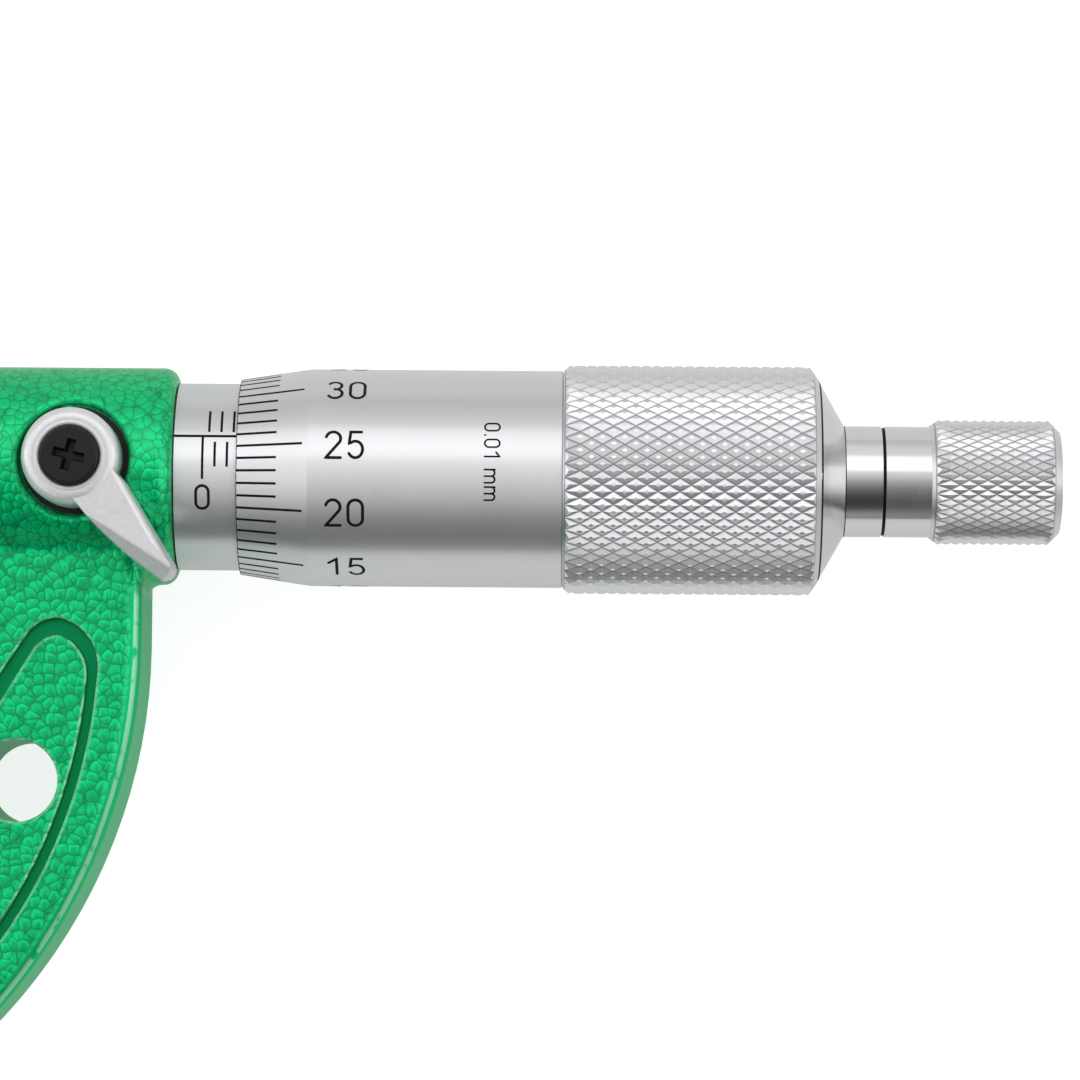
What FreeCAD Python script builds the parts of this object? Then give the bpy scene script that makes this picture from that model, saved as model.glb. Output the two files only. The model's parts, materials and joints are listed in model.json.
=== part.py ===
import FreeCAD, Part
import math
import os
import re

import Sketcher

# Outside micrometer for 0 to 25 mm with a wide cast bow, lying on its back.
# Millimetres. The origin is the centre of the fixed anvil's measuring face.
# +X runs along the spindle towards the ratchet, +Y points from the bow to the spindle,
# and +Z points out of the front, where the scale and the lock lever are.

# Driving dimensions: alias, value, meaning
SIZES = (
    ("travel", 25.0, "measuring travel"),
    ("reading", 2.76, "opening between the measuring faces as modelled"),
    ("throat_radius", 28.0, "inner arc of the bow"),
    ("bow_width", 18.0, "bow from its inner arc to its outer arc"),
    ("bow_thickness", 12.8, "bow from front to back"),
    ("bow_drop", 14.0, "bow arc centre below the spindle axis"),
    ("bow_rounding", 1.5, "rounded edges of the bow"),
    ("boss_radius", 6.8, "anvil boss"),
    ("boss_step", 0.5, "anvil boss proud of the limb at its inner end"),
    ("boss_tail", 1.0, "anvil boss proud of the limb at its outer end"),
    ("hub_radius", 9.0, "spindle hub"),
    ("hub_length", 21.5, "spindle hub"),
    ("hub_step", 1.0, "spindle hub proud of the limb at its inner end"),
    ("hub_rounding", 1.2, "rounded ends of hub and boss"),
    ("hub_root", 1.2, "hollow rounding where the hub meets the limb"),
    ("groove_inset", 3.4, "groove from the bow's edge"),
    ("groove_width", 0.85, "groove round the raised island"),
    ("groove_depth", 0.8, "groove round the raised island"),
    ("arch_back", 9.15, "top of the groove's arch behind the hub's right face"),
    ("arch_drop", 12.1, "top of the groove's arch below the axis"),
    ("arch_band", 1.4, "groove width at the top of its arch"),
    ("arch_radius", 4.2, "arch of the groove over its outer run"),
    ("arch_shoulder_radius", 3.15, "shoulder of the arch"),
    ("island_radius", 3.4, "the island under the arch"),
    ("island_shoulder_radius", 2.55, "shoulder of the island"),
    ("island_shoulder", 2.28, "slanting shoulder of the island, back from its top"),
    ("arch_foot", 17.0, "where the arch meets the groove's outer run, below the axis"),
    ("arch_shoulder", 2.7, "slanting shoulder of the arch, back from its top"),
    ("arch_slope", 1.45, "slanting shoulder of the arch, down from its top"),
    ("arch_heel", 24.0, "where the slanting side meets the inner run, below the axis"),
    ("island_heel", 28.0, "the same place on the island, below the axis"),
    ("light_hole_radius", 3.35, "lightening holes in the bow"),
    ("light_hole_circle", 37.8, "lightening holes from the bow's arc centre"),
    ("light_hole_start", 17.6, "first lightening hole below the horizontal, degrees"),
    ("light_hole_count", 5, "lightening holes"),
    ("anvil_radius", 3.25, "anvil and spindle measuring faces"),
    ("anvil_reach", 6.0, "anvil beyond its boss"),
    ("anvil_seat", 14.0, "anvil inside its boss"),
    ("anvil_shank_radius", 3.0, "anvil's shank, pressed into the boss"),
    ("tip_thickness", 1.0, "hard metal tips"),
    ("tip_chamfer", 0.2, "chamfer on the tips and pins"),
    ("spindle_radius", 3.25, "plain part of the spindle"),
    ("running_gap", 0.03, "radial clearance of sliding and turning fits"),
    ("part_gap", 0.12, "small clearance between neighbours"),
    ("shank_radius", 5.0, "inner sleeve pressed into the hub"),
    ("shank_recess", 1.0, "inner sleeve behind the hub's left face"),
    ("stem_radius", 6.2, "inner sleeve under the scale sleeve"),
    ("guide_length", 5.0, "close guide bore past the hub's right face"),
    ("thread_radius", 3.75, "spindle screw"),
    ("thread_relief", 0.25, "bore of the inner sleeve around the screw"),
    ("thread_engaged", 10.76, "screw left in the nut when fully open"),
    ("sleeve_radius", 7.75, "scale sleeve"),
    ("sleeve_margin", 3.53, "scale sleeve past its last line"),
    ("nut_length", 12.0, "slit nut of the inner sleeve past the scale sleeve"),
    ("nut_cone_radius", 5.9, "left end of the slit cone on the inner sleeve"),
    ("nut_cone_drop", 0.5, "fall of the slit cone's radius"),
    ("slit_width", 0.6, "slits in the cone"),
    ("slit_count", 3, "slits in the cone"),
    ("adjuster_start", 2.0, "adjusting nut past the scale sleeve"),
    ("adjuster_length", 7.0, "adjusting nut"),
    ("adjuster_radius", 7.4, "adjusting nut"),
    ("adjuster_slot", 1.6, "wrench slots in the adjusting nut"),
    ("adjuster_slot_depth", 1.3, "wrench slots in the adjusting nut"),
    ("spanner_hole_radius", 0.6, "hook spanner hole in the back of the sleeve"),
    ("spanner_hole_reach", 3.2, "hook spanner hole past the hub"),
    ("zero_tick", 2.47, "zero line of the sleeve past the hub"),
    ("thimble_bore", 7.9, "thimble bore radius"),
    ("thimble_edge_radius", 8.1, "thimble at its graduated edge"),
    ("thimble_radius", 9.0, "thimble"),
    ("bevel_length", 5.85, "graduated bevel of the thimble"),
    ("knurl_start", 26.67, "knurled grip from the thimble's edge"),
    ("knurl_radius", 9.47, "knurled grip over its points"),
    ("knurl_depth", 0.35, "grip's knurl, from its flats to its valleys"),
    ("knurl_pitch", 1.8, "grip's knurl, along the axis"),
    ("knurl_spacing", 1.144, "grip's knurl, round the thimble"),
    ("knurl_flat", 0.28, "share of each point's height that is cut off flat"),
    ("knurl_chamfer", 0.5, "chamfer before the grip"),
    ("end_bevel", 0.69, "bevel at the thimble's right end"),
    ("thimble_end_radius", 8.5, "thimble's right end face"),
    ("web_clearance", 0.74, "web short of the nut when closed"),
    ("web_length", 6.45, "thimble's web with the cone seat"),
    ("taper_radius", 3.55, "big end of the spindle's cone seat"),
    ("taper_length", 4.5, "spindle's cone seat"),
    ("taper_drop", 0.95, "fall of the cone seat's radius"),
    ("cap_length", 2.15, "cone cap"),
    ("cap_step", 0.07, "cap edge inside the thimble's end face"),
    ("cap_end_radius", 4.65, "cone cap at the ratchet"),
    ("cap_bore", 3.0, "cone cap bore radius"),
    ("cap_spigot_radius", 6.45, "cap spigot in the thimble"),
    ("cap_spigot_length", 1.85, "cap spigot in the thimble"),
    ("stud_radius", 2.0, "screwed end of the spindle"),
    ("stud_length", 5.2, "screwed end of the spindle"),
    ("neck_radius", 4.6, "ratchet necks"),
    ("base_length", 3.1, "ratchet base outside the cap"),
    ("base_spigot", 3.5, "ratchet base inside the cap"),
    ("neck_gap", 0.27, "dark gap between ratchet base and ratchet knob"),
    ("neck_length", 3.75, "neck of the ratchet knob"),
    ("knob_chamfer", 0.75, "chamfer from the neck to the knob's grip"),
    ("knob_radius", 5.18, "ratchet knob over its points"),
    ("knob_grip", 9.05, "ratchet knob's grip"),
    ("knob_knurl_depth", 0.3, "ratchet knob's knurl, from its points to its valleys"),
    ("knob_knurl_pitch", 1.5, "ratchet knob's knurl, along the axis"),
    ("knob_knurl_spacing", 0.835, "ratchet knob's knurl, round the knob"),
    ("knob_end_chamfer", 0.95, "end chamfer of the knob"),
    ("knob_bore", 3.7, "knob bore radius"),
    ("knob_web", 2.1, "wall inside the knob that the spring pushes on"),
    ("knob_recess_radius", 2.95, "recess for the screw's head"),
    ("knob_recess_depth", 4.05, "recess for the screw's head"),
    ("pilot_radius", 2.3, "pilot of the ratchet base"),
    ("pilot_length", 2.7, "pilot of the ratchet base"),
    ("crown_collar", 0.5, "plain collar that carries the ratchet base's teeth"),
    ("crown_inner", 2.65, "ratchet teeth"),
    ("crown_outer", 3.5, "ratchet teeth"),
    ("crown_height", 0.5, "ratchet teeth"),
    ("crown_teeth", 12, "ratchet teeth"),
    ("crown_notch", 0.6, "share of a tooth's pitch that a notch takes"),
    ("ring_thickness", 1.5, "toothed ring of the ratchet"),
    ("spring_wire", 0.25, "ratchet spring wire radius"),
    ("spring_radius", 3.0, "ratchet spring mean radius"),
    ("spring_turns", 5, "ratchet spring"),
    ("screw_radius", 1.25, "screw through the ratchet"),
    ("screw_grip", 3.0, "screw inside the ratchet base"),
    ("screw_head_radius", 2.6, "head of the ratchet screw"),
    ("screw_head_height", 1.6, "head of the ratchet screw"),
    ("screw_slot", 0.7, "slot of the ratchet screw"),
    ("lock_back", 8.0, "lock lever's pivot behind the hub's right face"),
    ("lock_rise", 0.76, "lock lever's pivot above the axis"),
    ("lock_pocket_radius", 4.55, "pocket for the lock lever"),
    ("lock_pocket_rim", 0.45, "rounded rim of the lever's pocket"),
    ("lock_pocket_depth", 2.5, "floor of the lever's pocket below the hub's front"),
    ("washer_radius", 4.4, "black washer under the lever"),
    ("washer_thickness", 0.3, "black washer under the lever"),
    ("lock_stud_radius", 1.9, "threaded stud that the lever turns"),
    ("lock_stud_foot", 4.2, "lower end of the stud above the axis"),
    ("lever_radius", 3.98, "lever's ring"),
    ("lever_height", 2.7, "top of the lever's ring above the hub's front"),
    ("lever_step", 0.1, "arm's top below the ring's top"),
    ("lever_rounding", 0.9, "rounded edge of the lever's ring"),
    ("lever_angle", -50.0, "direction of the lever's arm from +X, degrees"),
    ("lever_length", 12.7, "lever from its pivot to its tip"),
    ("lever_width", 4.4, "lever's arm at its root"),
    ("lever_root", 4.6, "where the arm starts to narrow"),
    ("lever_tip_radius", 0.95, "rounded tip of the arm"),
    ("lever_draft", 3.0, "slant of the arm's sides, degrees"),
    ("lever_edge", 0.5, "rounded long edges of the arm's top"),
    ("lever_bevel_start", 3.6, "where the arm's bevel starts, from the pivot"),
    ("lever_bevel_turn", 17.9, "bevel's upper edge from the arm's direction, degrees"),
    ("lever_bevel_tilt", 45.0, "bevel from upright, degrees"),
    ("lever_bevel_depth", 2.0, "bevel's reach below the arm's top"),
    ("lever_bulge", 34.0, "radius of the arm's curved side"),
    ("lever_lift", 0.15, "arm above the hub"),
    ("lever_tip_fall", 1.75, "underside of the arm falls by this to its tip"),
    ("lock_screw_radius", 2.4, "lock screw's head"),
    ("lock_screw_height", 1.9, "lock screw's head"),
    ("lock_screw_proud", 0.8, "lock screw's head above the lever's top"),
    ("lock_screw_shank", 1.1, "lock screw's shank radius"),
    ("lock_screw_depth", 3.0, "lock screw inside the stud"),
    ("recess_span", 2.6, "cross recess, tip to tip"),
    ("recess_arm", 0.76, "cross recess, arm width"),
    ("recess_depth", 1.2, "cross recess"),
    ("recess_draft", 8.0, "slant of the cross recess's walls, degrees"),
    ("recess_turn", -13.5, "cross recess, turned by, degrees"),
    ("pad_radius", 1.85, "brass lock pad"),
    ("overcut", 1.0, "cuts run this far past the material"),
)

# Places worked out from the driving dimensions
PLACES = (
    ("bow_centre", "throat_radius - anvil_reach - boss_step"),
    ("bow_radius", "throat_radius + bow_width"),
    ("half_bow", "bow_thickness / 2"),
    ("boss_right", "-anvil_reach"),
    ("boss_left", "bow_centre - bow_radius - boss_tail"),
    ("hub_left", "bow_centre + throat_radius - hub_step"),
    ("hub_right", "hub_left + hub_length"),
    ("shank_left", "hub_left + shank_recess"),
    ("guide_radius", "spindle_radius + running_gap"),
    ("guide_right", "hub_right + guide_length"),
    ("sleeve_left", "hub_right + part_gap"),
    ("sleeve_right", "hub_right + zero_tick + travel + sleeve_margin"),
    ("nut_right", "sleeve_right + nut_length"),
    ("adjuster_left", "sleeve_right + adjuster_start"),
    ("adjuster_right", "adjuster_left + adjuster_length"),
    ("nut_bore", "thread_radius + running_gap"),
    ("relief_bore", "thread_radius + thread_relief"),
    ("thimble_left", "hub_right + zero_tick + reading"),
    ("bevel_right", "thimble_left + bevel_length"),
    ("grip_left", "thimble_left + knurl_start + knurl_chamfer"),
    ("web_left", "nut_right + reading + web_clearance"),
    ("thimble_right", "web_left + web_length"),
    ("grip_right", "thimble_right - end_bevel"),
    ("taper_right", "web_left + taper_length"),
    ("taper_end_radius", "taper_radius - taper_drop"),
    ("screw_left", "nut_right - (travel - reading) - thread_engaged"),
    ("cap_right", "thimble_right + cap_length"),
    ("base_left", "cap_right - base_spigot"),
    ("base_right", "cap_right + base_length"),
    ("stud_right", "taper_right + stud_length"),
    ("pilot_right", "base_right + pilot_length"),
    ("crown_left", "base_right + crown_collar"),
    ("crown_right", "crown_left + crown_height"),
    ("ring_left", "crown_right + part_gap"),
    ("ring_right", "ring_left + ring_thickness"),
    ("knob_left", "base_right + neck_gap"),
    ("neck_right", "knob_left + neck_length"),
    ("knob_grip_left", "neck_right + knob_chamfer"),
    ("knob_grip_right", "knob_grip_left + knob_grip"),
    ("knob_right", "knob_grip_right + knob_end_chamfer"),
    ("web_right", "knob_right - knob_recess_depth"),
    ("spring_stop", "web_right - knob_web"),
    ("lock_x", "hub_right - lock_back"),
    ("lock_floor", "hub_radius - lock_pocket_depth"),
    ("lever_bottom", "lock_floor + washer_thickness + part_gap"),
    ("lever_top", "hub_radius + lever_height"),
    ("lock_head_top", "lever_top + lock_screw_proud"),
    ("lock_head_bottom", "lock_head_top - lock_screw_height"),
    ("lock_stud_top", "lock_head_bottom - part_gap"),
    ("arm_root_z", "hub_radius + lever_lift"),
    ("arm_tip_z", "arm_root_z - lever_tip_fall"),
    ("arm_top", "lever_top - lever_step"),
)

# Lengths closer than this count as equal
NEAR = 1e-6

doc = FreeCAD.newDocument("Micrometer")
sheet = doc.addObject("Spreadsheet::Sheet", "Dimensions")
for row, (alias, size, meaning) in enumerate(SIZES, start=1):
    sheet.set(f"A{row}", meaning)
    sheet.set(f"B{row}", str(size))
    sheet.setAlias(f"B{row}", alias)
doc.recompute()
places = doc.addObject("App::VarSet", "Places")
holders = {alias: "Dimensions." for alias, size, meaning in SIZES}


def bound(formula):
    """The formula with each named size and place led to its holder in the document"""
    return re.sub(r"\b[a-z]\w+", lambda word: holders.get(word.group(), "") + word.group(), formula)


for name, formula in PLACES:
    places.addProperty("App::PropertyFloat", name)
    places.setExpression(name, bound(formula))
    holders[name] = "Places."
doc.recompute()


def value(formula):
    """The number that a formula gives now"""
    number = sheet.evalExpression(bound(formula))
    return float(getattr(number, "Value", number))


def new_body(name):
    body = doc.addObject("PartDesign::Body", name)
    body.Label = name
    return body


def new_sketch(body, name, role="XY_Plane", offset=(), turn=None):
    """A sketch on one of the body's origin planes, moved and turned in that plane by formulas"""
    sketch = body.newObject("Sketcher::SketchObject", name)
    plane = next(part for part in body.Origin.OriginFeatures if part.Role == role)
    sketch.AttachmentSupport = [(plane, "")]
    sketch.MapMode = "FlatFace"
    for letter, formula in zip("xyz", offset):
        sketch.setExpression(f".AttachmentOffset.Base.{letter}", bound(formula))
    if turn:
        sketch.setExpression(".AttachmentOffset.Rotation.Angle", bound(turn))
    return sketch


def place_point(sketch, edge, point, x, y):
    for kind, formula in (("DistanceX", x), ("DistanceY", y)):
        number = sketch.addConstraint(Sketcher.Constraint(kind, -1, 1, edge, point, value(formula)))
        sketch.setExpression(f"Constraints[{number}]", bound(formula))


def arc_between(start, end, radius, side):
    """The shorter arc from start to end whose centre lies to the left or right of the way"""
    chord = end - start
    reach = math.sqrt(max(radius**2 - (chord.Length / 2) ** 2, 0))
    across = FreeCAD.Vector(-chord.y, chord.x, 0).normalize() * (reach if side == "left" else -reach)
    centre = (start + end) / 2 + across
    circle = Part.Circle(centre, FreeCAD.Vector(0, 0, 1), radius)
    angles = [math.atan2(p.y - centre.y, p.x - centre.x) for p in (start, end)]
    if side == "right":
        angles.reverse()
    return Part.ArcOfCircle(circle, *angles)


def draw_outline(sketch, corners):
    """A closed outline. A corner is (x, y), or (x, y, radius, side) where an arc leads to it"""
    points = [FreeCAD.Vector(value(c[0]), value(c[1]), 0) for c in corners]
    first = sketch.GeometryCount
    ends = []
    for i, corner in enumerate(corners):
        start, end = points[i - 1], points[i]
        if len(corner) == 2:
            sketch.addGeometry(Part.LineSegment(start, end), False)
            ends.append((1, 2))
        else:
            sketch.addGeometry(arc_between(start, end, value(corner[2]), corner[3]), False)
            ends.append((1, 2) if corner[3] == "left" else (2, 1))
    for i, corner in enumerate(corners):
        before = first + (i - 1) % len(corners)
        here = first + i
        joint = Sketcher.Constraint("Coincident", before, ends[i - 1][1], here, ends[i][0])
        sketch.addConstraint(joint)
        place_point(sketch, here, ends[i][1], corner[0], corner[1])
        if len(corner) == 4:
            number = sketch.addConstraint(Sketcher.Constraint("Radius", here, value(corner[2])))
            sketch.setExpression(f"Constraints[{number}]", bound(corner[2]))


def draw_circle(sketch, x, y, radius):
    centre = FreeCAD.Vector(value(x), value(y), 0)
    circle = Part.Circle(centre, FreeCAD.Vector(0, 0, 1), value(radius))
    edge = sketch.addGeometry(circle, False)
    place_point(sketch, edge, 3, x, y)
    number = sketch.addConstraint(Sketcher.Constraint("Radius", edge, value(radius)))
    sketch.setExpression(f"Constraints[{number}]", bound(radius))


def turned(body, name, corners, cut=False, role="XY_Plane", axis="H_Axis", offset=()):
    """A profile turned about an axis of its sketch, added to the body or cut from it"""
    sketch = new_sketch(body, name + "_profile", role, offset)
    draw_outline(sketch, corners)
    kind = "PartDesign::Groove" if cut else "PartDesign::Revolution"
    feature = body.newObject(kind, name)
    feature.Profile = sketch
    feature.ReferenceAxis = (sketch, [axis])
    feature.Angle = 360
    doc.recompute()
    return feature


def extruded(body, name, sketch, length, cut=False, backwards=False, middle=False, draft=None):
    """A sketch padded onto the body or pocketed out of it"""
    feature = body.newObject("PartDesign::Pocket" if cut else "PartDesign::Pad", name)
    feature.Profile = sketch
    feature.setExpression("Length", bound(length))
    feature.Reversed = backwards != cut
    if middle:
        feature.SideType = "Symmetric"
    if draft:
        feature.setExpression("TaperAngle", bound(draft))
    doc.recompute()
    return feature


def repeated(body, name, feature, axis, count):
    """The feature repeated evenly round a full turn"""
    pattern = body.newObject("PartDesign::PolarPattern", name)
    pattern.Originals = [feature]
    pattern.Axis = axis
    pattern.Angle = 360
    pattern.setExpression("Occurrences", bound(count))
    body.Tip = pattern
    doc.recompute()
    return pattern


def rounded(body, name, feature, test, radius):
    """Fillets the edges of the feature that the test picks"""
    edges = [f"Edge{i}" for i, edge in enumerate(feature.Shape.Edges, start=1) if test(edge)]
    fillet = body.newObject("PartDesign::Fillet", name)
    fillet.Base = (feature, edges)
    fillet.setExpression("Radius", bound(radius))
    doc.recompute()
    return fillet


def lies_between(shape, edge, radii):
    """True where round walls of all these radii meet at the edge"""
    found = [getattr(face.Surface, "Radius", 0) for face in shape.ancestorsOfType(edge, Part.Face)]
    return all(any(abs(wall - radius) < NEAR for wall in found) for radius in radii)


def cylinder_profile(left, right, radius, chamfer_left=None, chamfer_right=None):
    """Corners of a solid round bar from left to right, with chamfers where they are named"""
    corners = [(left, "0"), (right, "0")]
    if chamfer_right:
        corners += [(right, f"{radius} - {chamfer_right}"), (f"{right} - {chamfer_right}", radius)]
    else:
        corners += [(right, radius)]
    if chamfer_left:
        corners += [(f"{left} + {chamfer_left}", radius), (left, f"{radius} - {chamfer_left}")]
    else:
        corners += [(left, radius)]
    return corners


# Frame: the cast bow with its hub and anvil boss, its groove and its lightening holes


def rounded_bar_profile(left, right, radius, rounding):
    """Corners of a round bar whose two rims are rounded"""
    return [
        (left, "0"),
        (right, "0"),
        (right, f"{radius} - {rounding}"),
        (f"{right} - {rounding}", radius, rounding, "left"),
        (f"{left} + {rounding}", radius),
        (left, f"{radius} - {rounding}", rounding, "left"),
    ]


def bow_outline(sketch):
    """Two limbs up to the spindle axis, joined by concentric arcs below it"""
    outer_left, outer_right = "bow_centre - bow_radius", "bow_centre + bow_radius"
    inner_left, inner_right = "bow_centre - throat_radius", "bow_centre + throat_radius"
    draw_outline(
        sketch,
        [
            (outer_left, "0"),
            (outer_left, "-bow_drop"),
            ("bow_centre", "-bow_drop - bow_radius", "bow_radius", "left"),
            (outer_right, "-bow_drop", "bow_radius", "left"),
            (outer_right, "0"),
            (inner_right, "0"),
            (inner_right, "-bow_drop"),
            ("bow_centre", "-bow_drop - throat_radius", "throat_radius", "right"),
            (inner_left, "-bow_drop", "throat_radius", "right"),
            (inner_left, "0"),
        ],
    )


def arch_outline(sketch, outer_run, inner_run, top_drop, shoulder, heel, radius, shoulder_radius):
    """One edge of the groove: two concentric runs, closed over each limb by a lopsided arch"""
    top_x = "hub_right - arch_back"
    foot_x = f"bow_centre + sqrt(pow({outer_run}; 2) - pow(arch_foot - bow_drop; 2))"
    heel_x = f"bow_centre + sqrt(pow({inner_run}; 2) - pow({heel} - bow_drop; 2))"
    right = [
        (foot_x, "-arch_foot"),
        (top_x, f"-({top_drop})", radius, "left"),
        (f"{top_x} - {shoulder}", f"-({top_drop}) - arch_slope", shoulder_radius, "left"),
        (heel_x, f"-{heel}"),
    ]
    mirrored = [(f"2 * bow_centre - ({corner[0]})",) + corner[1:] for corner in right]
    corners = list(right)
    corners.append(("bow_centre", f"-bow_drop - ({inner_run})", inner_run, "right"))
    corners.append((*mirrored[3][:2], inner_run, "right"))
    corners.append(mirrored[2][:2])
    corners.append((*mirrored[1][:2], *mirrored[2][2:]))
    corners.append((*mirrored[0][:2], *mirrored[1][2:]))
    corners.append(("bow_centre", f"-bow_drop - ({outer_run})", outer_run, "left"))
    corners[0] = (*right[0], outer_run, "left")
    draw_outline(sketch, corners)


def make_frame():
    body = new_body("frame")
    bow_sketch = new_sketch(body, "bow_outline")
    bow_outline(bow_sketch)
    bow = extruded(body, "bow", bow_sketch, "bow_thickness", middle=True)
    half = value("half_bow")
    drop = value("bow_drop")

    def on_rim(edge):
        box = edge.BoundBox
        return box.ZLength < NEAR and abs(abs(box.ZMin) - half) < NEAR and box.YMin < -drop / 2

    rounded(body, "bow_rim", bow, on_rim, "bow_rounding")
    hub_bar = rounded_bar_profile("hub_left", "hub_right", "hub_radius", "hub_rounding")
    turned(body, "hub", hub_bar)
    boss_bar = rounded_bar_profile("boss_left", "boss_right", "boss_radius", "hub_rounding")
    boss = turned(body, "anvil_boss", boss_bar)
    hub_radius = value("hub_radius")

    def under_hub(edge):
        return edge.BoundBox.YMax < 0 and lies_between(boss.Shape, edge, [hub_radius])

    rounded(body, "hub_root_rounding", boss, under_hub, "hub_root")
    turned(
        body,
        "hub_bore",
        [("hub_left - overcut", "0"), ("hub_right + overcut", "0"),
         ("hub_right + overcut", "shank_radius"), ("hub_left - overcut", "shank_radius")],
        cut=True,
    )
    turned(
        body,
        "anvil_hole",
        [("boss_right - anvil_seat", "0"), ("boss_right + overcut", "0"),
         ("boss_right + overcut", "anvil_shank_radius"),
         ("boss_right - anvil_seat", "anvil_shank_radius")],
        cut=True,
    )
    pocket_sketch = new_sketch(body, "lever_pocket_circle", offset=("lock_x", "lock_rise", "lock_floor"))
    draw_circle(pocket_sketch, "0", "0", "lock_pocket_radius")
    pocket = extruded(body, "lever_pocket", pocket_sketch, "hub_radius", cut=True)
    walls = [hub_radius, value("lock_pocket_radius")]
    rounded(body, "pocket_rim", pocket, lambda edge: lies_between(pocket.Shape, edge, walls), "lock_pocket_rim")
    stud_sketch = new_sketch(body, "stud_hole_circle", offset=("lock_x", "lock_rise", "0"))
    draw_circle(stud_sketch, "0", "0", "lock_stud_radius + running_gap")
    extruded(body, "stud_hole", stud_sketch, "hub_radius", cut=True)
    for side, height in (("front", "half_bow - groove_depth"), ("back", "-half_bow")):
        groove_sketch = new_sketch(body, f"{side}_groove_outline", offset=("0", "0", height))
        arch_outline(
            groove_sketch, "bow_radius - groove_inset", "throat_radius + groove_inset",
            "arch_drop", "arch_shoulder", "arch_heel", "arch_radius", "arch_shoulder_radius",
        )
        arch_outline(
            groove_sketch, "bow_radius - groove_inset - groove_width",
            "throat_radius + groove_inset + groove_width",
            "arch_drop + arch_band", "island_shoulder", "island_heel", "island_radius",
            "island_shoulder_radius",
        )
        extruded(body, f"{side}_groove", groove_sketch, "groove_depth", cut=True)
    hole_sketch = new_sketch(body, "light_hole_circles", offset=("bow_centre", "-bow_drop", "0"))
    draw_circle(
        hole_sketch, "light_hole_circle * cos(light_hole_start * 1deg)",
        "-light_hole_circle * sin(light_hole_start * 1deg)", "light_hole_radius",
    )
    hole = extruded(body, "light_hole", hole_sketch, "bow_thickness + 2 * overcut", cut=True, middle=True)
    pattern = body.newObject("PartDesign::PolarPattern", "light_holes")
    pattern.Originals = [hole]
    pattern.Axis = (hole_sketch, ["N_Axis"])
    pattern.Reversed = True
    pattern.setExpression("Angle", bound("180 - 2 * light_hole_start"))
    pattern.setExpression("Occurrences", bound("light_hole_count"))
    body.Tip = pattern
    doc.recompute()
    return body


# Parts fixed in the frame


def make_anvil():
    """Pin with a shank pressed into the boss up to its shoulder, and a hard metal disc"""
    body = new_body("anvil")
    shank_left = "boss_right - anvil_seat"
    turned(
        body,
        "anvil_pin",
        [
            (shank_left, "0"),
            ("-tip_thickness", "0"),
            ("-tip_thickness", "anvil_radius"),
            ("boss_right", "anvil_radius"),
            ("boss_right", "anvil_shank_radius"),
            (f"{shank_left} + tip_chamfer", "anvil_shank_radius"),
            (shank_left, "anvil_shank_radius - tip_chamfer"),
        ],
    )
    tip = new_body("anvil_tip")
    turned(tip, "anvil_disc", cylinder_profile("-tip_thickness", "0", "anvil_radius", None, "tip_chamfer"))
    return [body, tip]


def make_inner_sleeve():
    """Guide bush, stem and slit nut in one piece, pressed into the hub"""
    body = new_body("inner_sleeve")
    turned(
        body,
        "stem",
        [
            ("shank_left", "guide_radius"),
            ("guide_right", "guide_radius"),
            ("guide_right", "relief_bore"),
            ("sleeve_right", "relief_bore"),
            ("sleeve_right", "nut_bore"),
            ("nut_right", "nut_bore"),
            ("nut_right", "nut_cone_radius - nut_cone_drop"),
            ("sleeve_right", "nut_cone_radius"),
            ("sleeve_right", "stem_radius"),
            ("hub_right", "stem_radius"),
            ("hub_right", "shank_radius"),
            ("shank_left", "shank_radius"),
        ],
    )
    pad_hole = new_sketch(body, "pad_hole_circle", offset=("lock_x", "lock_rise", "0"))
    draw_circle(pad_hole, "0", "0", "lock_stud_radius + running_gap")
    extruded(body, "pad_hole", pad_hole, "hub_radius", cut=True)
    slit_sketch = new_sketch(body, "slit_outline")
    slit_left = "adjuster_left - slit_width"
    draw_outline(
        slit_sketch,
        [(slit_left, "-slit_width / 2"), ("nut_right + overcut", "-slit_width / 2"),
         ("nut_right + overcut", "slit_width / 2"), (slit_left, "slit_width / 2")],
    )
    slit = extruded(body, "slit", slit_sketch, "nut_cone_radius + overcut", cut=True)
    repeated(body, "slits", slit, (slit_sketch, ["H_Axis"]), "slit_count")
    return [body]


def make_sleeve():
    body = new_body("sleeve")
    turned(
        body,
        "barrel",
        [("sleeve_left", "stem_radius"), ("sleeve_right", "stem_radius"),
         ("sleeve_right", "sleeve_radius - tip_chamfer"), ("sleeve_right - tip_chamfer", "sleeve_radius"),
         ("sleeve_left", "sleeve_radius")],
    )
    hole_sketch = new_sketch(
        body, "spanner_hole_circle", offset=("hub_right + spanner_hole_reach", "0", "-sleeve_radius - overcut")
    )
    draw_circle(hole_sketch, "0", "0", "spanner_hole_radius")
    extruded(body, "spanner_hole", hole_sketch, "sleeve_radius", cut=True)
    return [body]


def cone_radius_at(place):
    """The slit cone's radius at a place along the axis"""
    run = "(nut_right - sleeve_right)"
    return f"nut_cone_radius - nut_cone_drop * ({place} - sleeve_right) / {run}"


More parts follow.
